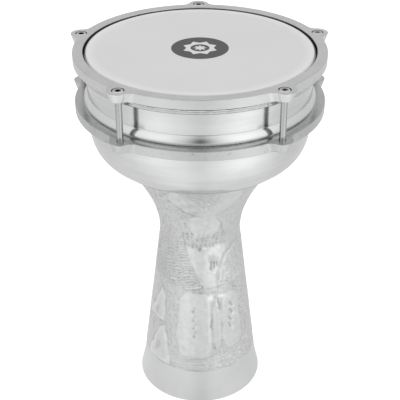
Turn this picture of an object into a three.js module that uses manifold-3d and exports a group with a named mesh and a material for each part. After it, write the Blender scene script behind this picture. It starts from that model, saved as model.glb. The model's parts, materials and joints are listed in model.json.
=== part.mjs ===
// A darbuka: a goblet drum with a spun aluminium bowl, an engraved neck tube on a flared open foot, and a
// synthetic head that five bolts stretch between a tuning hoop and a lug ring.
// Millimetres, +Z up. The origin is the centre of the head's playing face, so the foot stands at z = FOOT_Z.

import * as THREE from 'three';
import * as BufferGeometryUtils from 'three/addons/utils/BufferGeometryUtils.js';
import Module from 'manifold-3d';

const wasm = await Module();
wasm.setup();

// Driving dimensions
const FOOT_Z = -321.6;
const SHEET = 2; // thickness of the spun bowl and neck
const WALL_R = 91; // outside of the bowl's straight wall
const GAP = 0.3; // between large pieces that rest on each other
const STACK_GAP = 0.2; // between a bolt's head, its washer and the counterbore's floor

const BOLT_COUNT = 5;
const BOLT_CIRCLE_R = 102;
const FIRST_BOLT_ANGLE = Math.PI / 2; // the first bolt is at the back, on +Y
const BOLT_R = 2.5; // M5
const BOLT_HEAD_R = 4.25;
const BOLT_HEAD_HEIGHT = 3.5;
const SOCKET_ACROSS_FLATS = 4;
const SOCKET_DEPTH = 2.2;
const BOLT_TIP_Z = -47;
const BOLT_HOLE_R = 2.75;
const COUNTERBORE_R = 4.8;
const WASHER_THICKNESS = 0.7;

const HOOP_TOP_Z = 1; // the hoop stands a little above the head
const HOOP_HEIGHT = 7.8;
const HOOP_INNER_R = 92.7;
const HOOP_OUTER_R = 100.9;

const RING_TOP_Z = -39.6;
const RING_HEIGHT = 7.9;
const RING_INNER_R = 91.7;
const RING_OUTER_R = 101.3;

const EAR_R = 8.8; // round lobe about each bolt
const EAR_FILLET_R = 7;

const BEAD_TOP_Z = -31; // the bead pressed out of the wall above the lug ring
const BEAD_HEIGHT = 11;
const BEAD_DEPTH = 3;

const LIP_Z = -89.9; // underside of the bowl's lip, where the neck passes through
const LIP_HOLE_R = 68.9;
const LIP_ROLL_R = 1.6; // the roll that stands down from the lip
const LIP_ROLL_CENTRE_R = 73.6;
const FLANGE_R = 71.8; // the neck's flange, inside the bowl

const HEAD_THICKNESS = 0.5;
const HEAD_FLAT_R = 90.2;
const COLLAR_R = 91.9; // outside of the head's collar
const COLLAR_BOTTOM_Z = -11.5;
const FLESH_HOOP_OUTER_R = 97;
const FLESH_HOOP_BOTTOM_Z = -12.5;

const INSERT_R = 3.7;
const INSERT_HOLE_R = 3.8;
const INSERT_BORE_R = 2.6;
const INSERT_HEIGHT = 5.8;

// Facets around the large turned pieces, and around the small ones
const LARGE_FACETS = 60;
const SMALL_FACETS = 16;

function finish(color, roughness, metalness) {
  return new THREE.MeshStandardMaterial({ color, roughness, metalness });
}

const spunAluminium = finish(0xd6d7d8, 0.34, 0.95);
const engravedAluminium = finish(0xcfd0d1, 0.42, 0.95);
const castAluminium = finish(0xc3c4c5, 0.48, 0.95);
const steel = finish(0xb9bbbd, 0.25, 1);
const headFilm = finish(0xdedede, 0.5, 0);

// A profile point: distance from the drum's axis, and height
const at = (r, z) => new THREE.Vector2(r, z);

// Points of a round stretch, from one angle to the other, both ends included
function arc(centreR, centreZ, radius, from, to, steps) {
  const points = [];
  for (let i = 0; i <= steps; i += 1) {
    const angle = from + ((to - from) * i) / steps;
    points.push(at(centreR + radius * Math.cos(angle), centreZ + radius * Math.sin(angle)));
  }
  return points;
}

// Points of a smooth stretch with the given ends and two guide points, both ends included
function sweep(start, guideA, guideB, end, steps) {
  return new THREE.CubicBezierCurve(start, guideA, guideB, end).getPoints(steps);
}

// The same stretch moved sideways by the sheet's thickness, to the right of its direction of travel
function offset(points, distance) {
  return points.map((point, i) => {
    const before = points[Math.max(i - 1, 0)];
    const after = points[Math.min(i + 1, points.length - 1)];
    const along = after.clone().sub(before).normalize();
    return at(point.x + along.y * distance, point.y - along.x * distance);
  });
}

// A solid of revolution about Z. The profile runs up the outside, and closes on itself or starts and ends on
// the axis.
function turned(profile, facets) {
  const geometry = new THREE.LatheGeometry(profile, facets);
  geometry.rotateX(Math.PI / 2);
  return geometry;
}

const closed = (points) => [...points, points[0].clone()];

// A straight-sided washer or bush shape
function sleeve(innerR, outerR, bottomZ, topZ, facets) {
  const corners = [at(innerR, topZ), at(innerR, bottomZ), at(outerR, bottomZ), at(outerR, topZ)];
  return turned(closed(corners), facets);
}

function toSolid(geometry) {
  const bare = geometry.clone();
  bare.deleteAttribute('normal');
  bare.deleteAttribute('uv');
  const merged = BufferGeometryUtils.mergeVertices(bare);
  const vertProperties = new Float32Array(merged.attributes.position.array);
  const triVerts = new Uint32Array(merged.index.array);
  return new wasm.Manifold(new wasm.Mesh({ numProp: 3, vertProperties, triVerts }));
}

function toGeometry(solid) {
  const mesh = solid.getMesh();
  const geometry = new THREE.BufferGeometry();
  geometry.setAttribute('position', new THREE.BufferAttribute(mesh.vertProperties, 3));
  geometry.setIndex(new THREE.BufferAttribute(mesh.triVerts, 1));
  geometry.computeVertexNormals();
  return geometry;
}

const boltAngle = (index) => FIRST_BOLT_ANGLE + (index * 2 * Math.PI) / BOLT_COUNT;

// The outline of a ring whose rim swells into a round ear at each bolt, with a fillet on both sides of it
function earedOutline(rimR) {
  const filletCentreR = rimR + EAR_FILLET_R;
  const toEar = EAR_R + EAR_FILLET_R;
  // the triangle between the drum's axis, the bolt and the fillet's centre
  const spread = Math.acos(
    (BOLT_CIRCLE_R ** 2 + filletCentreR ** 2 - toEar ** 2) / (2 * BOLT_CIRCLE_R * filletCentreR),
  );
  const rise = Math.atan2(
    filletCentreR * Math.sin(spread),
    filletCentreR * Math.cos(spread) - BOLT_CIRCLE_R,
  );
  const outline = [];
  for (let i = 0; i < BOLT_COUNT; i += 1) {
    const ear = boltAngle(i);
    const before = ear - spread;
    const after = ear + spread;
    const nextBefore = boltAngle(i + 1) - spread;
    const centre = (angle, r) => [r * Math.cos(angle), r * Math.sin(angle)];
    const filletA = centre(before, filletCentreR);
    const filletB = centre(after, filletCentreR);
    outline.push(
      ...arc(...filletA, EAR_FILLET_R, before + Math.PI, ear - rise + Math.PI, 3),
      ...arc(...centre(ear, BOLT_CIRCLE_R), EAR_R, ear - rise, ear + rise, 8).slice(1),
      ...arc(...filletB, EAR_FILLET_R, ear + rise + Math.PI, after + Math.PI, 3).slice(1),
      ...arc(0, 0, rimR, after, nextBefore, 8).slice(1, -1),
    );
  }
  return outline;
}

function earedRing(rimR, innerR, bottomZ, height) {
  const shape = new THREE.Shape(earedOutline(rimR));
  shape.holes.push(new THREE.Path(arc(0, 0, innerR, 0, 2 * Math.PI, LARGE_FACETS).slice(0, -1)));
  const geometry = new THREE.ExtrudeGeometry(shape, { depth: height, bevelEnabled: false });
  geometry.translate(0, 0, bottomZ);
  return toSolid(geometry);
}

// Cuts the same turned hole at every bolt
function drillAtBolts(ring, holeProfile) {
  let drilled = ring;
  for (let i = 0; i < BOLT_COUNT; i += 1) {
    const cutter = turned(holeProfile, SMALL_FACETS);
    cutter.translate(BOLT_CIRCLE_R, 0, 0);
    cutter.rotateZ(boltAngle(i));
    drilled = drilled.subtract(toSolid(cutter));
  }
  return drilled;
}

const BOLT_HEAD_TOP_Z = HOOP_TOP_Z - STACK_GAP;
const BOLT_HEAD_BOTTOM_Z = BOLT_HEAD_TOP_Z - BOLT_HEAD_HEIGHT;
const WASHER_TOP_Z = BOLT_HEAD_BOTTOM_Z - STACK_GAP;
const COUNTERBORE_Z = WASHER_TOP_Z - WASHER_THICKNESS - STACK_GAP;

function tuningHoop() {
  const bottomZ = HOOP_TOP_Z - HOOP_HEIGHT;
  const hole = [
    at(0, bottomZ - 1),
    at(BOLT_HOLE_R, bottomZ - 1),
    at(BOLT_HOLE_R, COUNTERBORE_Z),
    at(COUNTERBORE_R, COUNTERBORE_Z),
    at(COUNTERBORE_R, HOOP_TOP_Z + 1),
    at(0, HOOP_TOP_Z + 1),
  ];
  return toGeometry(drillAtBolts(earedRing(HOOP_OUTER_R, HOOP_INNER_R, bottomZ, HOOP_HEIGHT), hole));
}

// The ring pulls up against the underside of the wall's bead, so its top inside edge is chamfered to fit.
function lugRing() {
  const bottomZ = RING_TOP_Z - RING_HEIGHT;
  const insertSeatZ = bottomZ + INSERT_HEIGHT + GAP;
  const hole = [
    at(0, bottomZ - 1),
    at(INSERT_HOLE_R, bottomZ - 1),
    at(INSERT_HOLE_R, insertSeatZ),
    at(BOLT_HOLE_R, insertSeatZ),
    at(BOLT_HOLE_R, RING_TOP_Z + 1),
    at(0, RING_TOP_Z + 1),
  ];
  const chamferDepth = 3;
  const chamferWidth = 2;
  const chamfer = turned(
    [
      at(0, RING_TOP_Z - chamferDepth),
      at(RING_INNER_R, RING_TOP_Z - chamferDepth),
      at(RING_INNER_R + chamferWidth, RING_TOP_Z),
      at(RING_INNER_R + chamferWidth, RING_TOP_Z + 1),
      at(0, RING_TOP_Z + 1),
    ],
    LARGE_FACETS,
  );
  const ring = earedRing(RING_OUTER_R, RING_INNER_R, bottomZ, RING_HEIGHT).subtract(toSolid(chamfer));
  return toGeometry(drillAtBolts(ring, hole));
}

// The bowl, from its rounded bearing edge down the straight wall and the bead to the rounded underside, whose
// rolled lip frames the hole for the neck.
function bowlShell() {
  const edgeR = SHEET / 2;
  const edgeZ = -HEAD_THICKNESS - GAP - edgeR;
  const edgeTop = arc(WALL_R - edgeR, edgeZ, edgeR, Math.PI, 0, 3);

  // the bead is a circular arc through its two creases and its crest
  const halfBead = BEAD_HEIGHT / 2;
  const beadR = (halfBead ** 2 + BEAD_DEPTH ** 2) / (2 * BEAD_DEPTH);
  const beadSpan = Math.asin(halfBead / beadR);
  const beadCentreR = WALL_R + BEAD_DEPTH - beadR;
  const bead = arc(beadCentreR, BEAD_TOP_Z - halfBead, beadR, beadSpan, -beadSpan, 5);
  const beadInside = arc(beadCentreR, BEAD_TOP_Z - halfBead, beadR - SHEET, -beadSpan, beadSpan, 3);

  const underside = sweep(at(WALL_R, -57), at(WALL_R, -77), at(84, -85.5), at(75.4, -89.4), 6);
  const undersideInside = offset(underside, SHEET).reverse();
  const lipTopZ = LIP_Z + SHEET;
  const rolledLip = arc(LIP_ROLL_CENTRE_R, LIP_Z, LIP_ROLL_R, -Math.PI / 8, -Math.PI, 3);

  return turned(
    closed([
      ...edgeTop,
      ...bead,
      ...underside,
      ...rolledLip,
      at(LIP_HOLE_R, LIP_Z),
      at(LIP_HOLE_R, lipTopZ),
      at(FLANGE_R + GAP, lipTopZ),
      ...undersideInside,
      ...beadInside,
    ]).reverse(),
    LARGE_FACETS,
  );
}

// The neck tube hangs by a flange inside the bowl's lip. It tapers to its narrowest, then opens as a straight
// cone and a short flare to the foot.
function neckTube() {
  const flangeBottomZ = LIP_Z + SHEET + GAP;
  const flangeTopZ = flangeBottomZ + SHEET;
  const throatR = LIP_HOLE_R - GAP;
  const throat = at(throatR - 0.5, LIP_Z - 0.8);
  const waist = at(35.2, -166);
  const flareTop = at(51.6, -301);
  const funnel = sweep(throat, at(49, -117), at(36, -138), waist, 7);
  const flare = sweep(flareTop, at(52.4, -307), at(54.4, -315), at(55.9, FOOT_Z), 3);
  const outside = [...funnel, ...flare];
  const insideFunnel = offset(funnel, SHEET);
  const insideFlare = offset(flare, SHEET);
  const footInner = insideFlare[insideFlare.length - 1];
  footInner.y = FOOT_Z;

  return turned(
    closed([
      at(throatR - SHEET, flangeTopZ),
      at(FLANGE_R, flangeTopZ),
      at(FLANGE_R, flangeBottomZ),
      at(throatR, flangeBottomZ),
      ...outside,
      ...insideFlare.reverse(),
      ...insideFunnel.reverse(),
    ]).reverse(),
    LARGE_FACETS,
  );
}

// The head: a flat film over the bearing edge, with a collar down the outside of the wall
function drumhead() {
  const shoulderR = COLLAR_R - HEAD_FLAT_R;
  const outside = arc(HEAD_FLAT_R, -shoulderR, shoulderR, Math.PI / 2, 0, 3);
  const inside = arc(HEAD_FLAT_R, -shoulderR, shoulderR - HEAD_THICKNESS, 0, Math.PI / 2, 2);
  return turned(
    [
      at(0, 0),
      ...outside,
      at(COLLAR_R, COLLAR_BOTTOM_Z),
      at(COLLAR_R - HEAD_THICKNESS, COLLAR_BOTTOM_Z),
      ...inside,
      at(0, -HEAD_THICKNESS),
    ].reverse(),
    LARGE_FACETS,
  );
}

// The metal ring that holds the head's edge, just under the tuning hoop
function fleshHoop() {
  const topZ = HOOP_TOP_Z - HOOP_HEIGHT - GAP;
  return sleeve(COLLAR_R + GAP, FLESH_HOOP_OUTER_R, FLESH_HOOP_BOTTOM_Z, topZ, LARGE_FACETS);
}

function tensionBolt() {
  const chamfer = 0.4;
  const body = turned(
    [
      at(0, BOLT_TIP_Z),
      at(BOLT_R - 2 * chamfer, BOLT_TIP_Z),
      at(BOLT_R, BOLT_TIP_Z + 2 * chamfer),
      at(BOLT_R, BOLT_HEAD_BOTTOM_Z),
      at(BOLT_HEAD_R, BOLT_HEAD_BOTTOM_Z),
      at(BOLT_HEAD_R, BOLT_HEAD_TOP_Z - chamfer),
      at(BOLT_HEAD_R - chamfer, BOLT_HEAD_TOP_Z),
      at(0, BOLT_HEAD_TOP_Z),
    ],
    SMALL_FACETS,
  );
  const socketR = SOCKET_ACROSS_FLATS / Math.sqrt(3);
  const socket = new THREE.CylinderGeometry(socketR, socketR, 2 * SOCKET_DEPTH, 6);
  socket.rotateX(Math.PI / 2);
  socket.translate(0, 0, BOLT_HEAD_TOP_Z);
  return toGeometry(toSolid(body).subtract(toSolid(socket)));
}

function boltWasher() {
  const bottomZ = WASHER_TOP_Z - WASHER_THICKNESS;
  return sleeve(BOLT_HOLE_R, COUNTERBORE_R - GAP, bottomZ, WASHER_TOP_Z, SMALL_FACETS);
}

// The threaded bush that takes the bolt, pressed up into the lug ring from below
function lugInsert() {
  const bottomZ = RING_TOP_Z - RING_HEIGHT;
  return sleeve(INSERT_BORE_R, INSERT_R, bottomZ, bottomZ + INSERT_HEIGHT, SMALL_FACETS);
}

function piece(name, geometry, material) {
  const mesh = new THREE.Mesh(geometry, material);
  mesh.name = name;
  return mesh;
}

const darbuka = new THREE.Group();
darbuka.add(
  piece('bowl_shell', bowlShell(), spunAluminium),
  piece('neck_tube', neckTube(), engravedAluminium),
  piece('lug_ring', lugRing(), castAluminium),
  piece('tuning_hoop', tuningHoop(), castAluminium),
  piece('flesh_hoop', fleshHoop(), castAluminium),
  piece('drumhead', drumhead(), headFilm),
);

for (let i = 0; i < BOLT_COUNT; i += 1) {
  const station = new THREE.Group();
  station.position.set(BOLT_CIRCLE_R * Math.cos(boltAngle(i)), BOLT_CIRCLE_R * Math.sin(boltAngle(i)), 0);
  station.rotation.z = boltAngle(i);
  station.add(
    piece(`tension_bolt_${i + 1}`, tensionBolt(), steel),
    piece(`bolt_washer_${i + 1}`, boltWasher(), steel),
    piece(`lug_insert_${i + 1}`, lugInsert(), steel),
  );
  darbuka.add(station);
}

export default darbuka;
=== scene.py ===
"""A goblet drum of spun and cast aluminium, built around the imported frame.

Shapes are made in millimetres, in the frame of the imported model: +Z up, origin at the centre of the playing
face. They are scaled to metres when their meshes are made.
"""

import json
from math import acos, atan2, cos, hypot, pi, radians, sin, sqrt

import bmesh
import bpy
import numpy as np
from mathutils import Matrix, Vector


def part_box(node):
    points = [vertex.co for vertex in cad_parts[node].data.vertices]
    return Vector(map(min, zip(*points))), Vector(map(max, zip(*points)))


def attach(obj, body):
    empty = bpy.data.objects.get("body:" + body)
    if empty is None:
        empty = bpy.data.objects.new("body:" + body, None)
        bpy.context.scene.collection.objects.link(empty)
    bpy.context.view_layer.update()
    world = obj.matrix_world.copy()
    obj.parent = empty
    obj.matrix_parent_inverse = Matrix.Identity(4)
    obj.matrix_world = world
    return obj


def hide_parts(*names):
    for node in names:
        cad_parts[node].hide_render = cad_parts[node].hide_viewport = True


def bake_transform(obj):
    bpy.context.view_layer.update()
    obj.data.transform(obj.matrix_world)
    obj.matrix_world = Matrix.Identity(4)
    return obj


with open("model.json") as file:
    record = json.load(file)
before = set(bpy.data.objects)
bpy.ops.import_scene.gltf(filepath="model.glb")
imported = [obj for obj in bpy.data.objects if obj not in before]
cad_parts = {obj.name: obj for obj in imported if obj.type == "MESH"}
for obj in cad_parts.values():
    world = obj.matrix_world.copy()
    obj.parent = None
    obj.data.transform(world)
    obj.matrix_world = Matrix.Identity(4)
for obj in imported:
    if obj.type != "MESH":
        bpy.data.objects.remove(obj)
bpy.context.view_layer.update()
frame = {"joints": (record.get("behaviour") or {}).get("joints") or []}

MM = 0.001


# ---------- Sizes ----------


def heights(node):
    """Lowest and highest z of a CAD node, in millimetres."""
    low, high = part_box(node)
    return low.z / MM, high.z / MM


def half_width(node):
    """Half of a CAD node's size along X, in millimetres."""
    low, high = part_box(node)
    return (high.x - low.x) / 2 / MM


HOOP_BOTTOM, HOOP_TOP = heights("tuning_hoop")
FLESH_BOTTOM, FLESH_TOP = heights("flesh_hoop")
COLLAR_BOTTOM, HEAD_TOP = heights("drumhead")
RING_BOTTOM, RING_TOP = heights("lug_ring")
BOLT_TIP, BOLT_TOP = heights("tension_bolt_1")
WASHER_BOTTOM, WASHER_TOP = heights("bolt_washer_1")
INSERT_BOTTOM, INSERT_TOP = heights("lug_insert_1")
FOOT = heights("neck_tube")[0]

FLESH_HOOP_R = half_width("flesh_hoop")
COLLAR_R = half_width("drumhead")
FLANGE_R = half_width("neck_tube")
BOLT_HEAD_R = half_width("tension_bolt_1")
WASHER_R = half_width("bolt_washer_1")
INSERT_R = half_width("lug_insert_1")

bolt_joints = [joint for joint in frame["joints"] if joint["type"] == "hinge"]
BOLT_AXES = [(joint["pos_m"][0] / MM, joint["pos_m"][1] / MM) for joint in bolt_joints]
BOLT_ANGLES = [atan2(y, x) for x, y in BOLT_AXES]
BOLT_CIRCLE_R = hypot(*BOLT_AXES[0])
STATION = 2 * pi / len(BOLT_ANGLES)

SHEET = 2.0  # thickness of the spun metal
WALL_R = 91.0  # outside of the bowl's straight wall
FILM = 0.5  # thickness of the head
HEAD_FLAT_R = 90.2
GAP = 0.3  # between pieces that fit together
STACK_GAP = 0.2  # between the washer and its seat

HOOP_INNER_R = 92.7
HOOP_RIM_R = 100.9
RING_INNER_R = 91.7
RING_RIM_R = 101.3
EAR_R = 8.8
EAR_DRAFT = 2.4  # by which an ear is smaller at its bottom
EAR_FILLET_R = 7.0
COUNTERBORE_R = 4.8
BOLT_HOLE_R = 2.75
INSERT_HOLE_R = 3.8
INSERT_BORE_R = 2.6

BOLT_R = 2.5
BOLT_HEAD_HEIGHT = 3.5
SOCKET_ACROSS_FLATS = 4.0
SOCKET_DEPTH = 2.2
THREAD_PITCH = 0.8
THREAD_DEPTH = 0.45

BEAD_TOP = -31.0
BEAD_DEPTH = 3.0
LIP = -89.9  # underside of the bowl's lip, which turns in over the neck's flange
LIP_HOLE_R = 68.9
LIP_ROLL_R = 1.6
LIP_ROLL_CENTRE_R = 73.6

BADGE_R = 22.9

# painted shade, soft and deep, for surfaces that sit in a gap or a hole, where little light reaches
SOFT_PAINTED_SHADE = -0.35  # tones of surfaces that sit in a gap
DEEP_PAINTED_SHADE = -0.9

LATHE_SEGMENTS = 288
BOLT_SEGMENTS = 48
EAR_STEPS = 28
FILLET_STEPS = 10
RIM_STEPS = 44


# ---------- Outlines ----------


def polar(radius, angle):
    return np.array((radius * cos(angle), radius * sin(angle)))


def arc(centre, radius, start, end, steps):
    """Points of a circular arc, both ends included."""
    return [np.array(centre) + polar(radius, a) for a in np.linspace(start, end, steps + 1)]


def bezier(a, b, c, d, steps):
    """Points of a cubic curve with guide points b and c, both ends included."""
    t = np.linspace(0, 1, steps + 1)[:, None]
    a, b, c, d = map(np.array, (a, b, c, d))
    return list((1 - t) ** 3 * a + 3 * t * (1 - t) ** 2 * b + 3 * t * t * (1 - t) * c + t**3 * d)


def offset(points, distance):
    """The same stretch moved sideways, to the right of its direction of travel."""
    points = np.array(points)
    along = np.gradient(points, axis=0)
    along /= np.linalg.norm(along, axis=1)[:, None]
    return list(points + distance * np.column_stack((along[:, 1], -along[:, 0])))


def turns(count):
    """Evenly spaced angles, once round."""
    return np.arange(count) * 2 * pi / count


def at_height(outline, z):
    """A flat outline, lifted to one height or to one for each point."""
    return np.column_stack((outline, np.broadcast_to(z, len(outline))))


def round_about(centre, radius, angles, z):
    """Points round a centre, at one radius or at one for each angle."""
    x = centre[0] + radius * np.cos(angles)
    y = centre[1] + radius * np.sin(angles)
    return at_height(np.column_stack((x, y)), z)


def circle(radius, z, segments=LATHE_SEGMENTS, centre=(0.0, 0.0)):
    return round_about(centre, radius, turns(segments), z)


def eared_outline(rim_r, ear_r, z, inset=0.0):
    """A ring's outline that swells into a round ear at each bolt, with a fillet on both sides of it.
    The inset moves every point inwards by the same distance."""
    fillet_centre_r = rim_r + EAR_FILLET_R
    fillet_r = EAR_FILLET_R + inset
    to_ear = ear_r + EAR_FILLET_R
    # two angles of the triangle between the drum's axis, the bolt and the fillet's centre
    squares = BOLT_CIRCLE_R**2 + fillet_centre_r**2 - to_ear**2
    spread = acos(squares / (2 * BOLT_CIRCLE_R * fillet_centre_r))
    past_bolt = fillet_centre_r * cos(spread) - BOLT_CIRCLE_R
    tip = atan2(fillet_centre_r * sin(spread), past_bolt)
    points = []
    for ear in BOLT_ANGLES:
        before = ear - spread
        after = ear + spread
        fillet_a = polar(fillet_centre_r, before)
        fillet_b = polar(fillet_centre_r, after)
        points += arc(fillet_a, fillet_r, before + pi, ear - tip + pi, FILLET_STEPS)
        points += arc(polar(BOLT_CIRCLE_R, ear), ear_r - inset, ear - tip, ear + tip, EAR_STEPS)[1:]
        points += arc(fillet_b, fillet_r, ear + tip + pi, after + pi, FILLET_STEPS)[1:]
        points += arc((0, 0), rim_r - inset, after, before + STATION, RIM_STEPS)[1:-1]
    return at_height(points, z)


# ---------- Meshes ----------


class Skin:
    """Collects loops of points, in millimetres, and the faces between them. Each point has a tone, by which
    its metal is brighter (above 0) or darker (below 0) than the material's own. Most tones are painted shade
    in gaps, holes and creases, or painted highlights."""

    def __init__(self):
        self.points = []
        self.tones = []
        self.faces = []
        self.flats = []

    def loop(self, points, tone=0.0):
        first = len(self.points)
        self.points.extend(points)
        self.tones.extend(np.broadcast_to(tone, len(points)))
        return list(range(first, len(self.points)))

    def through(self, loops, closed=False, tones=None):
        """A band of quads through loops of equal length. Returns their point numbers."""
        added = [self.loop(*pair) for pair in zip(loops, tones or [0.0] * len(loops))]
        for a, b in zip(added, added[1:] + (added[:1] if closed else [])):
            self.faces.extend(zip(a, a[1:] + a[:1], b[1:] + b[:1], b))
        return added

    def turn(self, profile, segments=LATHE_SEGMENTS, centre=(0.0, 0.0)):
        """A band turned from a profile of (radius, z, tone)."""
        radii, levels, tones = zip(*profile)
        return self.through(lathe(zip(radii, levels), segments, centre), tones=tones)

    def cap(self, loop):
        """A flat round end."""
        self.faces.append(tuple(loop))

    def flat(self, *loops):
        """A flat face between an outline and the holes in it."""
        self.flats.append(loops)

    def build(self, name, material, body, sharp=35, node=None):
        """Makes the mesh. It rides on the body, and takes the place of the CAD's node if one is named."""
        mesh = bpy.data.meshes.new(name)
        mesh.from_pydata((np.array(self.points) * MM).tolist(), [], self.faces)
        work = bmesh.new()
        work.from_mesh(mesh)
        work.verts.ensure_lookup_table()
        for loops in self.flats:
            pairs = [pair for loop in loops for pair in zip(loop, loop[1:] + loop[:1])]
            edges = [work.edges.get((work.verts[a], work.verts[b])) for a, b in pairs]
            bmesh.ops.triangle_fill(work, use_beauty=True, edges=edges)
        bmesh.ops.recalc_face_normals(work, faces=work.faces)
        work.to_mesh(mesh)
        work.free()
        mesh.shade_smooth()
        mesh.set_sharp_from_angle(angle=radians(sharp))
        mesh.materials.append(material)
        mesh.attributes.new("tone", "FLOAT", "POINT").data.foreach_set("value", self.tones)
        piece = bpy.data.objects.new(name, mesh)
        bpy.context.scene.collection.objects.link(piece)
        if body:
            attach(piece, body)
        if node:
            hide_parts(node)
        return piece


def lathe(profile, segments=LATHE_SEGMENTS, centre=(0.0, 0.0)):
    """The loops of a profile turned about an upright axis."""
    return [circle(r, z, segments, centre) for r, z in profile]


# ---------- Materials ----------


ALUMINIUM_TINT = (0.995, 1.0, 1.002)
STEEL_TINT = (0.99, 1.0, 1.015)


class Shader:
    """Short ways to add nodes to the tree of a material or of the world."""

    def __init__(self, owner):
        self.owner = owner
        owner.use_nodes = True
        self.tree = owner.node_tree

    def put(self, node, inputs):
        for key, value in inputs.items():
            if isinstance(value, bpy.types.NodeSocket):
                self.tree.links.new(value, node.inputs[key])
            else:
                node.inputs[key].default_value = value

    def node(self, kind, inputs=None, **settings):
        node = self.tree.nodes.new("ShaderNode" + kind)
        for key, value in settings.items():
            setattr(node, key, value)
        self.put(node, inputs or {})
        return node

    def math(self, operation, a, b=0.0, clamp=False):
        node = self.node("Math", {0: a, 1: b}, operation=operation, use_clamp=clamp)
        return node.outputs[0]

    def add(self, a, b):
        return self.math("ADD", a, b)

    def times(self, a, b, clamp=False):
        return self.math("MULTIPLY", a, b, clamp)

    def place(self):
        return self.node("TexCoord").outputs["Object"]

    def noise(self, scale, vector=None, detail=3.0, rough=0.5):
        """Noise from 0 to 1. The scale is in features per metre."""
        inputs = {"Vector": vector or self.place(), "Scale": scale, "Detail": detail, "Roughness": rough}
        return self.node("TexNoise", inputs).outputs["Fac"]

    def span(self, value, low, high, start=0.3, end=0.7):
        """Maps start...end of a value to low...high."""
        inputs = {"Value": value, "From Min": start, "From Max": end, "To Min": low, "To Max": high}
        return self.node("MapRange", inputs).outputs["Result"]

    def tone(self):
        return self.node("Attribute", attribute_name="tone").outputs["Fac"]

    def grey(self, value, tint=(1.0, 1.0, 1.0)):
        """A colour from a brightness, made brighter or darker by the mesh's tone."""
        value = self.times(value, self.add(self.tone(), 1), clamp=True)
        node = self.node("CombineColor")
        for channel, share in enumerate(tint):
            self.put(node, {channel: self.times(value, share)})
        return node.outputs[0]

    def round_axis(self, along=1.0, around=1.2):
        """Coordinates in which noise runs in fine lines round the drum's axis."""
        parts = self.node("SeparateXYZ", {0: self.place()}).outputs
        squares = [self.math("POWER", part, 2) for part in parts[:2]]
        radius = self.math("SQRT", self.add(*squares))
        x = self.times(self.math("DIVIDE", parts[0], radius), around)
        y = self.times(self.math("DIVIDE", parts[1], radius), around)
        down = self.times(self.add(parts[2], radius), along)
        return self.node("CombineXYZ", {0: x, 1: y, 2: down}).outputs[0]

    def bump(self, height, distance, normal=None):
        """The height runs from 0 to 1 over the distance, in metres."""
        inputs = {"Height": height, "Strength": 1.0, "Distance": distance}
        if normal is not None:
            inputs["Normal"] = normal
        return self.node("Bump", inputs).outputs["Normal"]

    def finish(self, inputs):
        self.put(self.tree.nodes["Principled BSDF"], inputs)
        return self.owner

    def metal(self, shade, roughness, normal, tint=ALUMINIUM_TINT, drawn_out=0.0):
        """A metal. Its highlights may be drawn out across fine lines that run round the axis."""
        inputs = {
            "Base Color": self.grey(shade, tint),
            "Metallic": 1.0,
            "Roughness": roughness,
            "Normal": normal,
        }
        if drawn_out:
            inputs["Anisotropic"] = drawn_out
            inputs["Anisotropic Rotation"] = 0.25
            inputs["Tangent"] = self.node("Tangent", direction_type="RADIAL", axis="Z").outputs[0]
        return self.finish(inputs)


def shader(name):
    return Shader(bpy.data.materials.new(name))


def spun_aluminium():
    """Sheet turned on a lathe: fine lines round the axis, with highlights drawn out across them."""
    s = shader("spun_aluminium")
    lines = s.noise(1.0, s.round_axis(3500), detail=4, rough=0.6)
    bands = s.noise(1.0, s.round_axis(160), detail=2)
    haze = s.noise(35, detail=4, rough=0.6)
    shade = s.add(s.span(bands, -0.03, 0.03), s.span(haze, 0.71, 0.77))
    roughness = s.add(s.span(haze, 0.14, 0.20), s.span(lines, -0.03, 0.04))
    normal = s.bump(lines, 6e-6, s.bump(bands, 2.5e-5))
    return s.metal(shade, roughness, normal, drawn_out=0.5)


def engraved_aluminium():
    """The neck: spun sheet, burnished smoother where its tone is high, which also paints a highlight there,
    and dull in the cuts.
    """
    s = shader("engraved_aluminium")
    lines = s.noise(1.0, s.round_axis(2600), detail=4, rough=0.6)
    grain = s.noise(900, detail=3, rough=0.6)
    haze = s.noise(30, detail=4, rough=0.6)
    shade = s.add(s.span(haze, 0.715, 0.775), s.span(lines, -0.02, 0.02))
    roughness = s.add(s.span(haze, 0.24, 0.30), s.span(s.tone(), 0.14, -0.06, -0.4, 0.3))
    normal = s.bump(grain, 1.5e-5, s.bump(lines, 1e-5))
    return s.metal(shade, roughness, normal, drawn_out=0.45)


def cast_aluminium(name, tone, roughness, grain_depth, pitting):
    """Castings, blasted and lightly machined: a fine grain, with softer uneven patches and a few pits."""
    s = shader(name)
    grain = s.noise(1400, detail=4, rough=0.65)
    patches = s.noise(70, detail=3, rough=0.55)
    turning = s.noise(1.0, s.round_axis(2200), detail=2)
    pits = s.span(s.noise(330, detail=3, rough=0.6), 0, 1, 0.60, 0.72)
    shade = s.add(s.span(patches, tone - 0.03, tone + 0.03), s.span(grain, -0.025, 0.025))
    shade = s.math("SUBTRACT", shade, s.times(pits, pitting))
    uneven = s.span(patches, roughness - 0.04, roughness + 0.04)
    normal = s.bump(grain, grain_depth, s.bump(turning, 5e-6, s.bump(patches, 8e-5)))
    return s.metal(shade, s.add(uneven, s.span(grain, 0, 0.05)), normal)


def polished_steel():
    """Zinc-bright steel with light handling marks, and a painted shade where it is seen edge on."""
    s = shader("bolt_steel")
    marks = s.noise(600, detail=4, rough=0.7)
    edge_on = s.node("LayerWeight", {"Blend": 0.5}).outputs["Facing"]
    # painted shade where the rod is seen edge on
    shade = s.times(s.span(marks, 0.46, 0.56), s.span(edge_on, 1.0, 0.4, 0.40, 0.95))
    return s.metal(shade, s.span(marks, 0.08, 0.18), s.bump(marks, 8e-6), STEEL_TINT)


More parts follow.
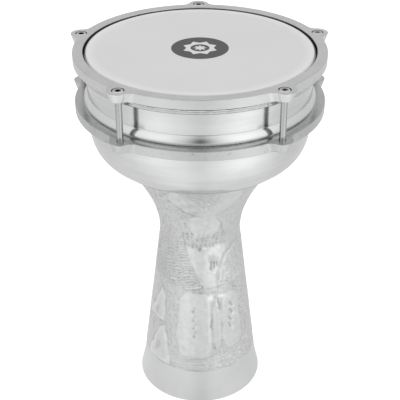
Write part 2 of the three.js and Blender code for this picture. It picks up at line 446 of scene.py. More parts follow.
def head_film():
    """A satin white polyester film, faintly clouded, with a fine frosted grain."""
    s = shader("head_film")
    grain = s.noise(2500, detail=2)
    clouds = s.noise(12, detail=3)
    shade = s.add(s.span(clouds, 0.685, 0.71), s.span(grain, -0.012, 0.012))
    return s.finish({
        "Base Color": s.grey(shade),
        "Roughness": s.span(grain, 0.42, 0.56),
        "Specular IOR Level": 0.35,
        "Normal": s.bump(grain, 1.2e-5),
    })


def badge_ink(name, tone):
    """Screen-printed ink, a little mottled."""
    s = shader(name)
    mottle = s.noise(1800, detail=3, rough=0.6)
    return s.finish({
        "Base Color": s.grey(s.span(mottle, tone * 0.93, tone * 1.07)),
        "Roughness": s.span(mottle, 0.40, 0.52),
        "Specular IOR Level": 0.3,
        "Normal": s.bump(mottle, 6e-6),
    })


SPUN = spun_aluminium()
ENGRAVED = engraved_aluminium()
HOOP_METAL = cast_aluminium("hoop_aluminium", 0.715, 0.28, 2.5e-5, 0.02)
RING_METAL = cast_aluminium("ring_aluminium", 0.59, 0.22, 1.2e-5, 0.16)
FLESH_METAL = cast_aluminium("flesh_hoop_aluminium", 0.665, 0.34, 6e-5, 0.16)
STEEL = polished_steel()
FILM_WHITE = head_film()
INK_DARK = badge_ink("badge_dark", 0.08)
INK_LIGHT = badge_ink("badge_light", 0.72)


# ---------- Bowl and neck ----------


CREASE_STEPS = 8
NOSE_R = 2.4
NOSE_DROP = 6.5  # from the bead's top
SLOPE_R = 14.0


def bead_profile():
    """The bead's outside from the top down, and its inside from the bottom up. A long, gently curved slope
    runs out to a tight round nose, and small fillets lead to the wall above and below."""
    nose = (WALL_R + BEAD_DEPTH - NOSE_R, BEAD_TOP - NOSE_DROP)
    flat, steep, under = map(radians, (18, 40, -70))
    slope = np.array(nose) - polar(SLOPE_R - NOSE_R, flat)
    shoulder = slope + polar(SLOPE_R, steep)
    heel = np.array(nose) + polar(NOSE_R, under)
    above_r = (shoulder[0] - WALL_R) / (1 - cos(steep))
    below_r = (heel[0] - WALL_R) / (1 - cos(under))
    above = shoulder + polar(above_r, steep)
    below = heel + polar(below_r, under)
    outside = [
        *arc(above, above_r, pi, pi + steep, CREASE_STEPS),
        *arc(slope, SLOPE_R, steep, flat, 16)[1:],
        *arc(nose, NOSE_R, flat, under, 16)[1:],
        *arc(below, below_r, pi + under, pi, CREASE_STEPS)[1:],
    ]
    wall_inside = WALL_R - SHEET
    inside = bezier((wall_inside, below[1]), (92.2, -38.6), (91.9, -34.0), (wall_inside, above[1]), 12)
    return outside, inside


def bowl_shell():
    edge_r = SHEET / 2
    edge_top = HEAD_TOP - FILM - GAP
    bearing_edge = arc((WALL_R - edge_r, edge_top - edge_r), edge_r, pi, 0, 10)

    bead, bead_inside = bead_profile()
    wall_above = [(WALL_R, z) for z in np.linspace(edge_top - 2 * edge_r, bead[0][1] + 0.5, 12)]
    wall_below = [(WALL_R, z) for z in np.linspace(bead[-1][1] - 0.5, -56, 6)]
    underside = bezier((WALL_R, -57), (WALL_R, -77), (84, -85.5), (75.4, -89.4), 40)
    rolled_lip = arc((LIP_ROLL_CENTRE_R, LIP), LIP_ROLL_R, -pi / 8, -pi, 10)
    lip_top = LIP + SHEET
    inside = offset(underside, SHEET)[::-1]
    profile = [
        *bearing_edge,
        *wall_above,
        *bead,
        *wall_below,
        *underside,
        *rolled_lip,
        (LIP_HOLE_R + 0.3, LIP),
        (LIP_HOLE_R, LIP + 0.3),
        (LIP_HOLE_R, lip_top),
        (FLANGE_R + GAP, lip_top),
        *inside,
        *bead_inside,
    ]
    crease = len(bearing_edge) + len(wall_above)
    at_lip = crease + len(bead) + len(wall_below) + len(underside)
    tones = [0.0] * len(profile)
    # painted shade in the crease where the wall meets the bead
    tones[crease + 2 : crease + CREASE_STEPS - 1] = [-0.18] * (CREASE_STEPS - 3)
    # painted shade: a dark line over the rolled lip, and a painted highlight on the lip below it
    tones[at_lip - 1 : at_lip + 1] = -0.30, -0.30
    tones[at_lip + 2 : at_lip + 6] = [0.16] * 4
    skin = Skin()
    skin.through(lathe(profile), closed=True, tones=tones)
    skin.build("bowl", SPUN, "shell", 50, "bowl_shell")


NECK_SEGMENTS = 360
NECK_ROW = 0.94  # between the rows of points on the engraved outside
INNER_ROW = 10.0
PATTERN = 132.0  # the engraving fits twice round the neck, measured as length at its mean radius
COMBED_TOP = -165.0
COMBED_BOTTOM = -206.0
HEM_TOP = -275.0
PLAIN_BAND = -296.0  # below it every third row of points is kept


def beyond(distance, softness):
    """1 outside a shape, 0 inside it, and a smooth edge between."""
    return 1 / (1 + np.exp(-np.clip(distance / softness, -30, 30)))


def within(distance, softness):
    return 1 - beyond(distance, softness)


def rounded_shape(u, z, centre, half, power=2.0):
    """Distance from the edge of an ellipse, or of a squarer shape for a higher power, negative inside."""
    du = np.abs(u - centre[0]) / half[0]
    dz = np.abs(z - centre[1]) / half[1]
    size = np.maximum((du**power + dz**power) ** (1 / power), 1e-3)
    slope = np.hypot(du ** (power - 1) / half[0], dz ** (power - 1) / half[1]) / size ** (power - 1)
    return (size - 1) / np.maximum(slope, 1e-3)


def leaf_shape(u, z, centre, half, lean=0.0):
    """Distance from the edge of a pointed leaf that stands upright or leans."""
    dz = (z - centre[1]) / half[1]
    width = half[0] * np.clip(1 - dz * dz, 0, 1) ** 0.8
    across = np.abs(u - centre[0] - lean * (z - centre[1]))
    past_tip = np.maximum(np.abs(dz) - 1, 0) * half[1]
    return np.hypot(np.maximum(across - width, 0), past_tip) + np.minimum(across - width, 0)


def polygon(u, z, corners):
    """Distance from the edge of a convex polygon whose corners run anticlockwise."""
    inside = np.full_like(u, -1e9)
    for (u0, z0), (u1, z1) in zip(corners, corners[1:] + corners[:1]):
        length = hypot(u1 - u0, z1 - z0)
        inside = np.maximum(inside, ((u - u0) * (z1 - z0) - (z - z0) * (u1 - u0)) / length)
    return inside


def line(u, z, start, end):
    """Distance from a straight cut."""
    du, dz = end[0] - start[0], end[1] - start[1]
    share = np.clip(((u - start[0]) * du + (z - start[1]) * dz) / (du * du + dz * dz), 0, 1)
    return np.hypot(u - start[0] - share * du, z - start[1] - share * dz)


def cut(distance, width):
    """1 on a line, falling off smoothly to either side."""
    return np.exp(-((distance / width) ** 2))


def wander(u, z, size, seed):
    """An uneven field, mostly from -1 to 1, with features of this size. It repeats round the neck."""
    random = np.random.default_rng(seed)
    waves = 14
    field = np.zeros_like(u)
    for heading, phase in random.uniform(0, 2 * pi, (waves, 2)):
        periods = round(PATTERN / size * cos(heading))
        down = z * sin(heading) / size
        field += np.sin(2 * pi * (u * periods / PATTERN + down) + phase)
    return field / sqrt(waves)


def punched(u, z, pitch, radius, seed, slant=0.0):
    """Dots punched by hand, some deep and most shallow, on a rough grid that repeats round the neck."""
    columns = round(PATTERN / pitch)
    step = PATTERN / columns
    v = z + slant * u
    rows = 512
    random = np.random.default_rng(seed).uniform(0, 1, (3, columns, rows))
    column = np.floor(u / step).astype(int)
    row = np.floor(v / pitch).astype(int)
    deepest = np.zeros_like(u)
    for i in (-1, 0, 1):
        for j in (-1, 0, 1):
            across, down, depth = random[:, (column + i) % columns, (row + j) % rows]
            across = (column + i + 0.2 + 0.6 * across) * step
            down = (row + j + 0.2 + 0.6 * down) * pitch
            dot = cut(np.hypot(u - across, v - down), radius)
            deepest = np.maximum(deepest, (0.3 + 0.7 * depth**3) * dot)
    return deepest


class Relief:
    """Height of the engraving in millimetres, and the tone of its metal, over the unrolled neck. A raised
    tone on burrs, ridges, studs, beads and burnished places is a painted highlight on metal that is also made
    smoother there.
    """

    def __init__(self, u, z):
        self.u = u
        self.z = z
        self.height = np.zeros_like(u)
        self.tone = np.zeros_like(u)

    def work(self, where, height, tone):
        self.height += height * where
        self.tone += tone * where

    def cover(self, where, height, tone):
        """Replaces what is there."""
        self.height += (height - self.height) * where
        self.tone += (tone - self.tone) * where

    def stroke(self, start, end, width, height, tone):
        """A straight mark with soft sides."""
        self.work(cut(line(self.u, self.z, start, end), width), height, tone)

    def dot(self, centre, width, height, tone):
        self.work(cut(np.hypot(self.u - centre[0], self.z - centre[1]), width), height, tone)


def ground_marks(relief, ground, in_sail):
    """The textured ground: punched above, combed in waves at the middle left, punched on a slant below."""
    u, z = relief.u, relief.z
    upper = beyond(z - COMBED_TOP, 1.5)
    middle = beyond(z - COMBED_BOTTOM, 1.5) * (1 - upper)
    below = within(z - COMBED_BOTTOM, 1.5)
    hem = below * within(z - HEM_TOP, 1.0)
    lower = below - hem
    left = within(u, 3)
    right = beyond(u - 2, 4)
    coarse = punched(u, z, 3.3, 0.85, 3)
    fine = punched(u, z, 2.2, 0.7, 5)
    slanted = punched(u, z, 2.9, 0.9, 7, slant=0.5)
    raised = punched(u, z, 3.3, 1.0, 9, slant=0.35)
    waves = z - 0.25 * np.maximum(u + 36, 0) + 0.35 * np.sin(u / 5.1) + 0.3 * wander(u, z, 9, 26)
    rows = (np.sin(2 * pi * waves / 2.7) * 0.5 + 0.5) ** 2
    broken = np.clip(0.85 + 0.35 * wander(u, z, 3.2, 27), 0.3, 1.2)
    dashes = (np.sin(2 * pi * (z - 0.12 * u) / 3.0) * 0.5 + 0.5) ** 2 * broken

    def texture(where, height, tone):
        relief.work(ground * where, height, tone)

    texture(1, -0.10, -0.04)
    relief.work(within(u + 45, 5), 0, 0.08)
    relief.work(beyond(u - 42, 5), 0, -0.03)
    relief.work(cut(u + 26, 10) * beyond(z + 162, 3) * within(z + 116, 3), 0, 0.05)
    texture(upper * coarse * (0.35 + 0.65 * left), -0.42, -0.50)
    texture(upper * fine, -0.22, -0.16)
    texture(middle * (1 - in_sail) * rows * broken * within(u - 6, 2), -0.40, -0.33)
    texture(middle * coarse * left * within(z + 190, 3), -0.28, -0.30)
    texture(middle * in_sail * fine, -0.38, -0.30)
    texture(in_sail * raised, 0.30, 0.34)
    texture(lower * slanted, -0.36, -0.34)
    texture(lower * fine, -0.16, -0.10)
    texture(lower * raised * beyond(u - 36, 1), 0.32, 0.34)
    texture(hem * dashes, -0.26, -0.15)
    texture(hem * raised * right, 0.38, 0.38)
    texture(hem * fine * right, -0.28, -0.20)


def medallion_marks(relief, medallion, veins):
    """A leafy fan between two smooth fields, and a rim that is cut at the left and burred at the right."""
    u, z = relief.u, relief.z
    apex = (4.0, -125.0)
    angle = np.arctan2(u - apex[0], z - apex[1])
    reach = np.hypot(u - apex[0], z - apex[1])
    inside = within(medallion + 0.8, 0.4)
    fan = within(np.abs(angle) - 0.66, 0.05) * beyond(reach - 4, 0.8) * inside
    strands = 0.5 + 0.5 * np.sin(angle * 21 + 1.6 * wander(u, z, 8, 30))
    relief.work(fan, -0.08, 0.05)
    relief.work(fan * strands, -0.24, -0.07)
    relief.work(fan * veins, -0.18, -0.06)
    relief.work(inside * (1 - fan), 0, 0.02)
    # two raised ridges with painted highlights on them
    relief.stroke((-12, -109.5), (-8.5, -117), 1.5, 0.16, 0.10)
    relief.stroke((5.5, -113.5), (4, -121), 0.6, 0.14, 0.20)
    low_left = within(z + 119, 2) * within(u - 1, 2)
    low_right = within(z + 119, 2) * beyond(u - 13, 1.5)
    relief.work(cut(medallion + 0.1, 0.7) * low_left, -0.34, -0.16)
    # a painted highlight on the burr at the right
    relief.work(cut(medallion + 0.6, 0.7) * low_right, 0.34, 0.12)
    relief.work(cut(medallion + 2.2, 0.7) * low_right, -0.20, -0.12)


def petal_marks(relief, petal, veins):
    """A mottled middle, a cut at the right, and a point that runs down."""
    inside = within(petal + 0.8, 0.6)
    middle = line(relief.u, relief.z, (7, -137), (4, -152))
    relief.work(inside, 0.05, 0.03)
    relief.work(inside * cut(middle, 2.2) * veins, -0.18, -0.14)
    relief.stroke((14, -134), (23.5, -150), 0.6, -0.34, -0.24)
    relief.stroke((-4.5, -152), (-4.5, -160.5), 1.4, 0.03, 0.05)


def chisel_marks(relief):
    """Two rows of upright cuts, with a deep notch under them."""
    u, z = relief.u, relief.z
    for i in range(9):
        start = -18.5 + 5.2 * i
        length = 5.5 + 1.8 * sin(2.1 * i)
        relief.stroke((start + 0.7, -153), (start - 0.4, -153 - length), 0.95, -0.36, -0.20)
    for i in range(12):
        start = -20.5 + 4.2 * i
        relief.stroke((start, -163.6), (start + 0.3, -166.2), 0.75, -0.24, -0.17)
    relief.work(beyond(u + 1, 2) * within(u - 27, 3) * cut(z + 160, 6), -0.05, -0.06)
    relief.work(cut(np.hypot(u + 0.4, (z + 168.2) * 1.5), 2.2), -0.80, -0.62)
    # a painted highlight on the raised hook beside the notch
    relief.stroke((2.2, -166.6), (4.6, -167.6), 0.8, 0.12, 0.14)


def vase_marks(relief, vase):
    """Burnished at the right, with a painted highlight there, and a small hand on it."""
    u, z = relief.u, relief.z
    inside = within(vase + 0.6, 0.6)
    relief.work(inside, 0, 0.02)
    relief.work(inside * cut(u, 5), 0, -0.01)
    relief.work(inside * beyond(u - 3.5, 1.4) * beyond(z + 196, 5), 0.03, 0.02)
    palm = rounded_shape(u, z, (13, -178.8), (5.6, 3.8))
    relief.work(within(palm, 0.6), -0.22, -0.20)
    for finger, length in ((10.2, 6.2), (13.0, 4.4), (16.2, 3.2)):
        relief.stroke((finger, -182), (finger - 0.4, -182 - length), 0.95, -0.55, -0.42)
    relief.stroke((8, -189.8), (12.5, -192.4), 1.1, 0.22, 0.06)
    relief.stroke((12.5, -192.4), (18, -189), 1.1, 0.22, 0.06)


def sail_marks(relief, sail):
    """The sail's edge, a broad channel with a burr beside it, and the edge of the combed field."""
    edge = beyond(relief.z + 205, 0.8) * within(relief.u - 47, 2)
    relief.work(cut(sail - 2.4, 1.7) * edge, -0.62, -0.13)
    relief.work(cut(sail + 0.2, 0.75) * edge, 0.36, 0.08)
    relief.stroke((19, -204.6), (28, -206.6), 0.95, 0.36, 0.14)
    relief.stroke((19.5, -202.6), (27.5, -204.2), 0.8, -0.20, -0.22)
    relief.stroke((28, -206.6), (36, -213), 0.6, -0.22, -0.18)
    relief.stroke((-14, -207.6), (-1, -205), 0.6, 0.22, 0.24)
    relief.stroke((-13, -209), (0, -206.4), 0.6, -0.22, -0.22)
    relief.stroke((-4, -192), (4, -202.5), 0.6, -0.20, -0.14)
    relief.dot((1.8, -204.6), 1.1, -0.50, -0.55)


def barrel_marks(relief, barrel):
    """A column of comma-shaped punches, and a bright edge and a channel at the right."""
    inside = within(barrel + 0.8, 0.6)
    relief.work(inside, 0, 0.02)
    relief.work(inside * cut(relief.u + 12, 3), 0, 0.03)
    relief.stroke((6.2, -218), (7.8, -271), 0.9, 0.16, 0.11)
    relief.stroke((9.2, -221), (10.4, -274), 1.1, -0.22, -0.07)
    relief.stroke((-12, -281.6), (9, -276), 0.7, -0.30, -0.16)
    for i in range(4):
        top = -225.0 - 8.4 * i
        start = -4.8 + 0.5 * i
        relief.stroke((start, top), (start - 1.6, top - 3.4), 0.7, -0.24, -0.18)
        relief.dot((start - 2, top - 5), 0.9, -0.36, -0.42)


def blade_marks(relief, blade, patchy):
    """The blade, and the two studs over it."""
    u, z = relief.u, relief.z
    relief.work(cut(blade + 0.2, 0.7) * patchy, -0.30, -0.16)
    relief.work(cut(np.abs(u - 14), 0.6) * within(blade + 1.5, 0.4), -0.14, -0.07)
    relief.stroke((14, -219.5), (14.8, -226), 0.8, 0.22, 0.20)
    relief.cover(within(np.hypot(u - 8.5, z + 216.4) - 1.9, 0.8), 0.1, 0.36)
    relief.cover(within(np.hypot((u - 20) * 0.75, z + 216.6) - 2.1, 0.8), 0.1, 0.36)


def panel_marks(relief, side_panel):
    """Slashes, each with a raised bead."""
    for i in range(4):
        top = -225.6 - 7.0 * i
        start = 28.3 - 1.3 * i
        relief.stroke((start, top), (start + 2.2, top - 4.2), 0.75, -0.40, -0.38)
        relief.dot((31.3 - 0.8 * i, top - 6.1), 1.15, 0.36, 0.26)
    relief.work(within(side_panel + 1, 0.6), 0, 0.03)


def leaf_marks(relief, leaf, vein):
    inside = within(leaf + 0.8, 0.6)
    vein_shape = leaf_shape(relief.u, relief.z, vein, (1.4, 4.5), 0.2)
    relief.work(inside * cut(leaf + 2.2, 1.8), 0.10, 0.09)
    relief.work(cut(leaf - 0.3, 0.7), -0.12, -0.08)
    relief.work(inside * cut(vein_shape, 1.0), -0.24, -0.20)


def engraving(u, z):
    """Height and tone of the neck's relief: 0 on the plain metal and negative in the cuts."""
    place = u, z
    u = u + 0.55 * wander(*place, 13, 21) + 0.2 * wander(*place, 5, 22)
    z = z + 0.55 * wander(*place, 13, 23) + 0.2 * wander(*place, 5, 24)
    patchy = np.clip(0.55 + 0.6 * wander(u, z, 20, 25), 0.05, 1.2)
    veins = np.clip(0.5 + 0.6 * wander(u, z, 3.4, 31), 0, 1)

    medallion = rounded_shape(u, z, (3, -110), (23.7, 21.5))
    petal = rounded_shape(u, z, (4, -143), (16, 14.5), 1.7)
    vase = polygon(u, z, [(-16, -166), (2, -206), (19, -206), (29, -166)])
    barrel = rounded_shape(u, z, (-5.5, -243.5), (14.5, 33), 4.5)
    blade = leaf_shape(u, z, (14.2, -246), (4.6, 30))
    side_panel = rounded_shape(u, z, (28.5, -243), (10, 29), 3.2)
    upper_leaf = polygon(u, z, [(-57, -249), (-33, -249), (-35, -221), (-40, -214)])
    lower_leaf = polygon(u, z, [(-52, -291), (-24.5, -291), (-24.5, -286), (-32.5, -251), (-41, -259)])
    stem = leaf_shape(u, z, (-66, -215), (7, 62))
    far_stem = leaf_shape(u, z, (66, -215), (7, 62))
    from_seam = np.minimum(np.abs(u - PATTERN / 2), np.abs(u + PATTERN / 2))
    far_medallion = rounded_shape(from_seam, z, (0, -118), (17, 15))
    sail = np.maximum(rounded_shape(u, z, (44, -205), (26, 33)), -204.5 - z)
    shapes = [medallion, petal, vase, barrel, blade, side_panel, upper_leaf, lower_leaf]
    shapes += [stem, far_stem, far_medallion, z + 291.0, -94.5 - z]
    smooth = np.minimum.reduce(shapes)

    relief = Relief(u, z)
    ground_marks(relief, beyond(smooth - 0.3, 0.4), within(sail, 0.4))
    relief.work(cut(smooth - 0.4, 0.6) * patchy, -0.30, -0.13)
    # the metal is uneven from the hammer and the burnisher, least of all in the plain band
    plain = within(z + 292, 1)
    relief.work(wander(*place, 10, 28) * (1 - 0.85 * plain), 0.09, 0.02)
    relief.work(wander(*place, 5.5, 29) * (1 - 0.9 * plain), 0.035, 0.015)
    medallion_marks(relief, medallion, veins)
    petal_marks(relief, petal, veins)
    chisel_marks(relief)
    vase_marks(relief, vase)
    sail_marks(relief, sail)
    barrel_marks(relief, barrel)
    blade_marks(relief, blade, patchy)
    panel_marks(relief, side_panel)
    leaf_marks(relief, upper_leaf, (-44.5, -242))
    leaf_marks(relief, lower_leaf, (-39, -276))
    # a line round the top of the plain band, and the shadow of the bowl's lip
    relief.work(cut(z + 291.4, 0.6) * patchy, -0.14, -0.12)
    relief.work(cut(z + 95.0, 1.6), 0, -0.15)
    fade = beyond(z + 318, 1.0) * beyond(-93 - z, 0.8)
    return relief.height * fade, np.clip(relief.tone, -0.8, 0.42)


def along_curve(points, spacing):
    """Points at an even spacing along a curve."""
    points = np.array(points)
    length = np.concatenate(([0], np.cumsum(np.linalg.norm(np.diff(points, axis=0), axis=1))))
    places = np.linspace(0, length[-1], round(length[-1] / spacing) + 1)
    return np.column_stack([np.interp(places, length, points[:, k]) for k in (0, 1)])


def neck_tube():
    flange_bottom = LIP + SHEET + GAP
    flange_top = flange_bottom + SHEET
    throat_r = LIP_HOLE_R - GAP
    funnel = bezier((throat_r - 0.5, LIP - 0.8), (49, -117), (36, -138), (35.2, -166), 200)
    flare = bezier((51.6, -301), (52.4, -307), (54.4, -315), (55.9, FOOT), 60)
    outline = along_curve(funnel + flare, NECK_ROW)
    engraved = np.flatnonzero(outline[:, 1] > PLAIN_BAND)
    plain = np.arange(len(engraved), len(outline))
    outside = outline[np.unique(np.concatenate((engraved, plain[1::3], plain[-1:])))]
    coarse = along_curve(funnel + flare, INNER_ROW)
    inside = np.array(offset(coarse, SHEET))[::-1]
    inside[0, 1] = FOOT

    around = -pi / 2 + turns(NECK_SEGMENTS)
    unrolled = (around + pi / 2) * PATTERN / pi
    u = (unrolled + PATTERN / 2) % PATTERN - PATTERN / 2
    normal = np.array(offset(outside, -1.0)) - outside
    grid_u, grid_z = np.meshgrid(u, outside[:, 1])
    height, tone = engraving(grid_u, grid_z)
    radius = outside[:, :1] + normal[:, :1] * height
    level = outside[:, 1:] + normal[:, 1:] * height
    loops = [round_about((0, 0), r, around, z) for r, z in zip(radius, level)]
    start = [
        (throat_r - SHEET, flange_top),
        (FLANGE_R - 0.3, flange_top),
        (FLANGE_R, flange_top - 0.3),
        (FLANGE_R, flange_bottom),
        (throat_r, flange_bottom),
        (throat_r, LIP),
    ]
    inner_loops = lathe(inside, NECK_SEGMENTS)
    tones = [0] * len(start) + list(tone) + [0] * len(inner_loops)
    skin = Skin()
    skin.through(lathe(start, NECK_SEGMENTS) + loops + inner_loops, closed=True, tones=tones)
    skin.build("neck", ENGRAVED, "shell", 60, "neck_tube")


# ---------- Rings ----------


def eared_ring(name, node, body, material, inner, holes, rim_r, edge, edge_shade):
    """A cast ring with ears that taper downwards. inner is the profile of its bore from the top down, and
    holes the profile of the hole at each bolt, both as (radius, z, tone). The outer edges are rounded."""
    bottom, top = heights(node)

    def outline(z, inset):
        ear_r = EAR_R - EAR_DRAFT * (top - z) / (top - bottom)
        return eared_outline(rim_r, ear_r, z, inset)

    slopes = np.linspace(0, pi / 2, 6)
    upper = [outline(top - edge * (1 - cos(t)), edge * (1 - sin(t))) for t in slopes]
    lower = [outline(bottom + edge * (1 - cos(t)), edge * (1 - sin(t))) for t in slopes]
    # painted shade along the rounded top edge, and a painted highlight on the walls of the ears
    on_ear = np.clip((np.hypot(*upper[0][:, :2].T) - rim_r) / 4, 0, 1)
    outer_tones = [0.0] + [edge_shade] * 4 + [0.09 * on_ear] * 7
    skin = Skin()
    bands = [skin.through(upper + lower[::-1], tones=outer_tones), skin.turn(inner)]
    bands += [skin.turn(holes, BOLT_SEGMENTS, axis) for axis in BOLT_AXES]
    skin.flat(*[loops[0] for loops in bands])
    skin.flat(*[loops[-1] for loops in bands])
    ring = skin.build(name, material, body, 40, node)
    # keeps the large flat faces evenly shaded beside their rounded edges
    ring.modifiers.new("even_shading", "WEIGHTED_NORMAL").keep_sharp = True


def tuning_hoop():
    break_edge = 0.25
    # painted shade down the inner wall in the gap round the head, and down the counterbores and the bolt
    # holes
    inner = [
        (HOOP_INNER_R + 0.5, HOOP_TOP, 0),
        (HOOP_INNER_R + 0.15, HOOP_TOP - 0.15, 0),
        (HOOP_INNER_R, HOOP_TOP - 0.5, -0.05),
        (HOOP_INNER_R, HOOP_TOP - 1.6, SOFT_PAINTED_SHADE),
        (HOOP_INNER_R, HOOP_TOP - 2.4, DEEP_PAINTED_SHADE),
        (HOOP_INNER_R, HOOP_BOTTOM + 0.3, DEEP_PAINTED_SHADE),
        (HOOP_INNER_R + 0.3, HOOP_BOTTOM, 0),
    ]
    seat = WASHER_BOTTOM - STACK_GAP
    holes = [
        (COUNTERBORE_R + break_edge, HOOP_TOP, 0),
        (COUNTERBORE_R, HOOP_TOP - break_edge, SOFT_PAINTED_SHADE),
        (COUNTERBORE_R, HOOP_TOP - 0.55, DEEP_PAINTED_SHADE),
        (COUNTERBORE_R, seat, DEEP_PAINTED_SHADE),
        (BOLT_HOLE_R, seat, DEEP_PAINTED_SHADE),
        (BOLT_HOLE_R, HOOP_BOTTOM + break_edge, SOFT_PAINTED_SHADE),
        (BOLT_HOLE_R + break_edge, HOOP_BOTTOM, 0),
    ]
    rim = {"rim_r": HOOP_RIM_R, "edge": 0.4, "edge_shade": -0.22}
    eared_ring("top_hoop", "tuning_hoop", "hoop", HOOP_METAL, inner, holes, **rim)


def lug_ring():
    break_edge = 0.2
    lead_in = 1.2
    steps = 8
    centre = (RING_INNER_R + lead_in + 0.4, RING_TOP - lead_in)
    rounding = arc(centre, lead_in, pi / 2, pi, steps)
    # painted shade that deepens down the rounded lead-in into the bore, and in the bore and the bolt holes
    inner = [
        *[(r, z, -0.36 * i / steps) for i, (r, z) in enumerate(rounding)],
        (RING_INNER_R, RING_TOP - 2 * lead_in, DEEP_PAINTED_SHADE),
        (RING_INNER_R, RING_BOTTOM + 0.3, SOFT_PAINTED_SHADE),
        (RING_INNER_R + 0.3, RING_BOTTOM, 0),
    ]
    seat = INSERT_TOP + GAP
    holes = [
        (BOLT_HOLE_R + break_edge, RING_TOP, 0),
        (BOLT_HOLE_R, RING_TOP - break_edge, DEEP_PAINTED_SHADE),
        (BOLT_HOLE_R, seat, DEEP_PAINTED_SHADE),
        (INSERT_HOLE_R, seat, DEEP_PAINTED_SHADE),
        (INSERT_HOLE_R, RING_BOTTOM + break_edge, SOFT_PAINTED_SHADE),
        (INSERT_HOLE_R + break_edge, RING_BOTTOM, 0),
    ]
    rim = {"rim_r": RING_RIM_R, "edge": 0.6, "edge_shade": -0.08}
    eared_ring("lower_ring", "lug_ring", "shell", RING_METAL, inner, holes, **rim)


def flesh_hoop():
    """A rough rolled band with a groove near its top, uneven along its length."""
    inner_r = COLLAR_R + GAP
    groove_depth = 0.25
    face_r = FLESH_HOOP_R
    low = FLESH_BOTTOM
    groove = FLESH_TOP - 3.0
    # radius, height and tone from the bottom's inner edge, round the outside, to the top's
    # painted shade along the bottom edge, in the groove and over the top under the hoop, and a painted
    # highlight on the strip above the groove
    profile = [
        (inner_r, low + 0.2, 0),
        (inner_r + 0.2, low, 0),
        (face_r - 1.0, low, 0),
        (face_r - 0.7, low + 0.05, -0.6),
        (face_r - 0.2, low + 0.25, -0.7),
        (face_r, low + 0.55, -0.6),
        (face_r, low + 0.8, 0),
        *[(face_r, z, 0) for z in np.linspace(low + 1.0, groove - 0.5, 4)],
        (face_r - 0.1, groove - 0.25, 0),
        (face_r - groove_depth, groove - 0.1, -0.15),
        (face_r - groove_depth, groove + 0.1, -0.15),
        (face_r - 0.1, groove + 0.25, 0.1),
        (face_r, groove + 0.4, 0.25),
        (face_r, groove + 0.9, 0.2),
        (face_r - 0.2, groove + 1.1, -0.6),
        (face_r - 0.8, groove + 1.3, DEEP_PAINTED_SHADE),
        (face_r - 0.8, FLESH_TOP, DEEP_PAINTED_SHADE),
        (inner_r + 0.2, FLESH_TOP, DEEP_PAINTED_SHADE),
        (inner_r, FLESH_TOP - 0.2, DEEP_PAINTED_SHADE),
    ]
    segments = 720
    turn = turns(segments)
    random = np.random.default_rng(11)
    counts = (17, 29, 43, 71, 113, 167)
    waves = [(n, random.uniform(0, 2 * pi), random.uniform(-1, 1)) for n in counts]
    loops = []
    for r, z, tone in profile:
        loop = circle(r, z, segments)
        outer = np.clip((r - inner_r - 1) / 3, 0, 1)
        dent = sum(np.sin(n * turn + phase + drift * z) for n, phase, drift in waves) / len(waves)
        loop[:, :2] *= 1 + 0.22 * (dent[:, None] - 1) * outer / r
        if low + 0.9 < z < FLESH_TOP - 1:
            loop[:, 2] += 0.3 * dent * outer
        loops.append(loop)
    skin = Skin()
    skin.through(loops, closed=True, tones=[tone for r, z, tone in profile])
    skin.build("head_band", FLESH_METAL, "hoop", node="flesh_hoop")


# ---------- Head and badge ----------


def drumhead():
    shoulder_r = COLLAR_R - HEAD_FLAT_R
    centre = (HEAD_FLAT_R, HEAD_TOP - shoulder_r)
    radii = (2, 12, 24, 36, 48, 60, 72, 82, 88, HEAD_FLAT_R - 0.6)
    flat = [(r, HEAD_TOP) for r in radii]
    under = [(r, HEAD_TOP - FILM) for r in radii[::-1]]
    collar = np.linspace(HEAD_TOP - shoulder_r - 0.4, COLLAR_BOTTOM, 14)
    profile = [
        *flat,
        *arc(centre, shoulder_r, pi / 2, 0, 10),
        *[(COLLAR_R, z) for z in collar],
        *[(COLLAR_R - FILM, z) for z in collar[::-1]],
        *arc(centre, shoulder_r - FILM, 0, pi / 2, 8),
        *under,
    ]
    # painted shade: the gap round the film is dark, and closes to a thin line at the front; edge_shine is a
    # painted highlight on the film's edge
    in_gap = np.clip((np.sin(turns(LATHE_SEGMENTS)) + 0.45) / 0.35, 0.12, 1)
    edge_shine = 0.10
    tones = [0] * (len(flat) - 2) + [edge_shine, edge_shine, -0.1 * in_gap, -0.8 * in_gap]
    tones += [DEEP_PAINTED_SHADE * in_gap] * (len(profile) - len(tones) - len(under))
    tones += [0] * len(under)
    skin = Skin()
    loops = skin.through(lathe(profile), tones=tones)
    skin.cap(loops[0])
    skin.cap(loops[-1])
    film = skin.build("head_film", FILM_WHITE, None, node="drumhead")
    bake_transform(film)


def plate(name, outlines, material, bottom, top):
    """A thin flat solid. Outlines after the first are holes in it."""
    levels = (bottom, top - (top - bottom) / 3, top)
    skin = Skin()
    bands = [skin.through([outline + (0, 0, z) for z in levels]) for outline in outlines]
    skin.flat(*[loops[0] for loops in bands])
    skin.flat(*[loops[-1] for loops in bands])
    skin.build(name, material, "shell")


def star(tips, outer_r, inner_r, turn=0.0):
    radii = np.tile((outer_r, inner_r), tips)
    return round_about((0, 0), radii, turn + turns(2 * tips), 0)


